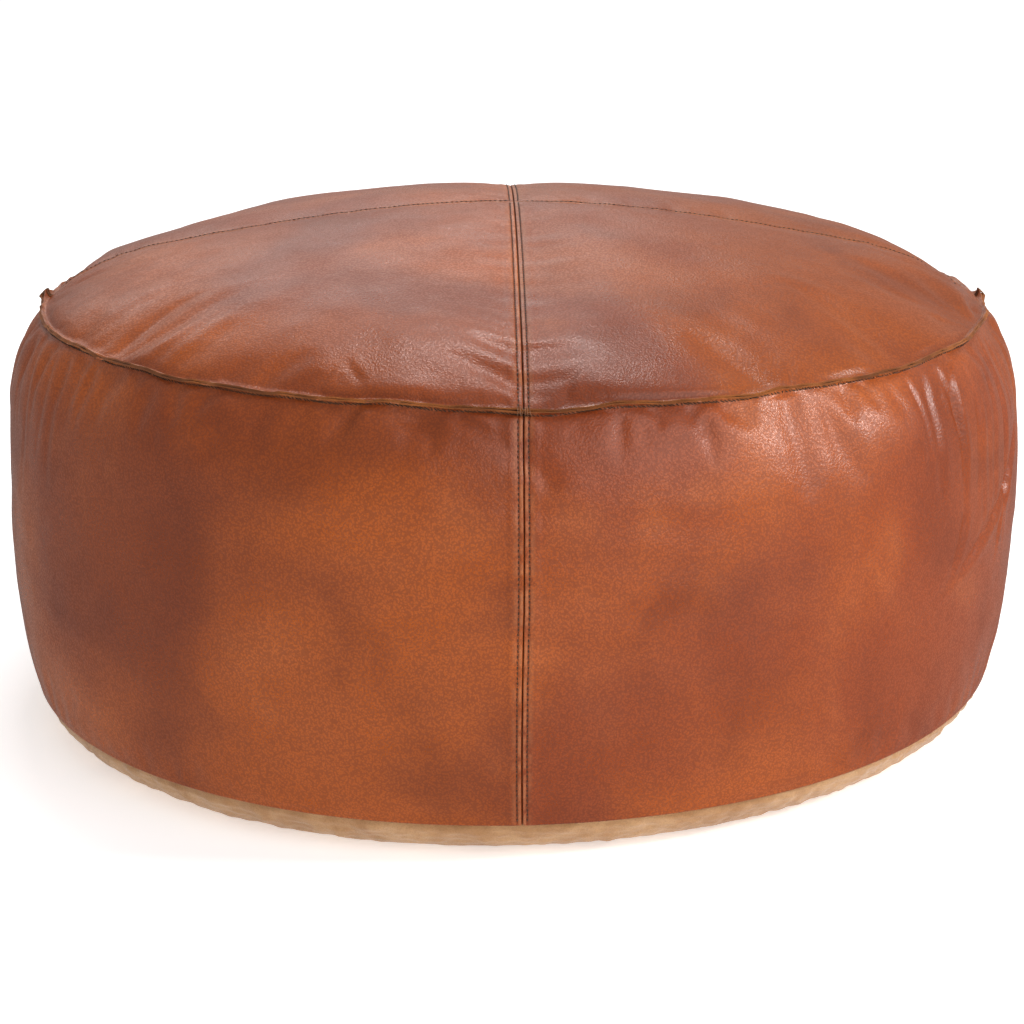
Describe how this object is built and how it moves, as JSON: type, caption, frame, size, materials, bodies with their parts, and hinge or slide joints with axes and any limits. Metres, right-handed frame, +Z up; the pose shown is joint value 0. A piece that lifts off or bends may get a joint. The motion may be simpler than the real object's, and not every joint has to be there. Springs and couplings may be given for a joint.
{
  "type": "leather pouf",
  "caption": "Low round stuffed leather floor pouf: quartered crowned top, raw-edged rim seam, panelled bulging side, suede base with a recessed zip.",
  "frame": {"origin": "centre of the footprint, on the floor", "axes": "+Z up; -Y the front, where one upright side seam faces the viewer; +X right, along the zip under the base"},
  "size_m": [0.801, 0.801, 0.3916],
  "materials": {
    "cognac_leather": "hand-burnished goat leather, mottled cognac brown, soft low gloss",
    "tan_suede": "matt beige suede with a short nap",
    "olive_thread": "waxed olive-brown thread",
    "tan_thread": "tan thread",
    "cotton_liner": "unbleached cotton",
    "fibre_filling": "white fibre filling",
    "zip_tape": "woven tape",
    "zip_coil": "nylon coil",
    "zip_metal": "aged brass"
  },
  "bodies": {
    "root": {"base_panel_back": "tan_suede", "base_panel_front": "tan_suede", "base_seam_stitching": "olive_thread", "inner_liner": "cotton_liner", "rim_stitching": "olive_thread", "rim_tacks": "olive_thread", "side_panel_back_left": "cognac_leather", "side_panel_back_right": "cognac_leather", "side_panel_front_left": "cognac_leather", "side_panel_front_right": "cognac_leather", "stuffing": "fibre_filling", "top_panel_back_left": "cognac_leather", "top_panel_back_right": "cognac_leather", "top_panel_front_left": "cognac_leather", "top_panel_front_right": "cognac_leather", "topstitch_side_back": "olive_thread", "topstitch_side_front": "olive_thread", "topstitch_side_left": "olive_thread", "topstitch_side_right": "olive_thread", "topstitch_top_crosswise": "olive_thread", "topstitch_top_lengthwise": "olive_thread", "zip_coil_back": "zip_coil", "zip_coil_front": "zip_coil", "zip_stitching": "tan_thread", "zip_stops": "zip_metal", "zip_tape_back": "zip_tape", "zip_tape_front": "zip_tape"},
    "zip_slider": {"zip_slider": "zip_metal"},
    "zip_pull": {"zip_pull": "zip_metal"}
  },
  "joints": [
    {"name": "zip_slide", "type": "slide", "parent": "root", "child": "zip_slider", "axis": [-1, 0, 0], "range_m": [0, 0.415]},
    {"name": "pull_swing", "type": "hinge", "parent": "zip_slider", "child": "zip_pull", "pos_m": [0.208, 0, 0.0054], "axis": [0, -1, 0], "range_deg": [-12, 176]}
  ]
}
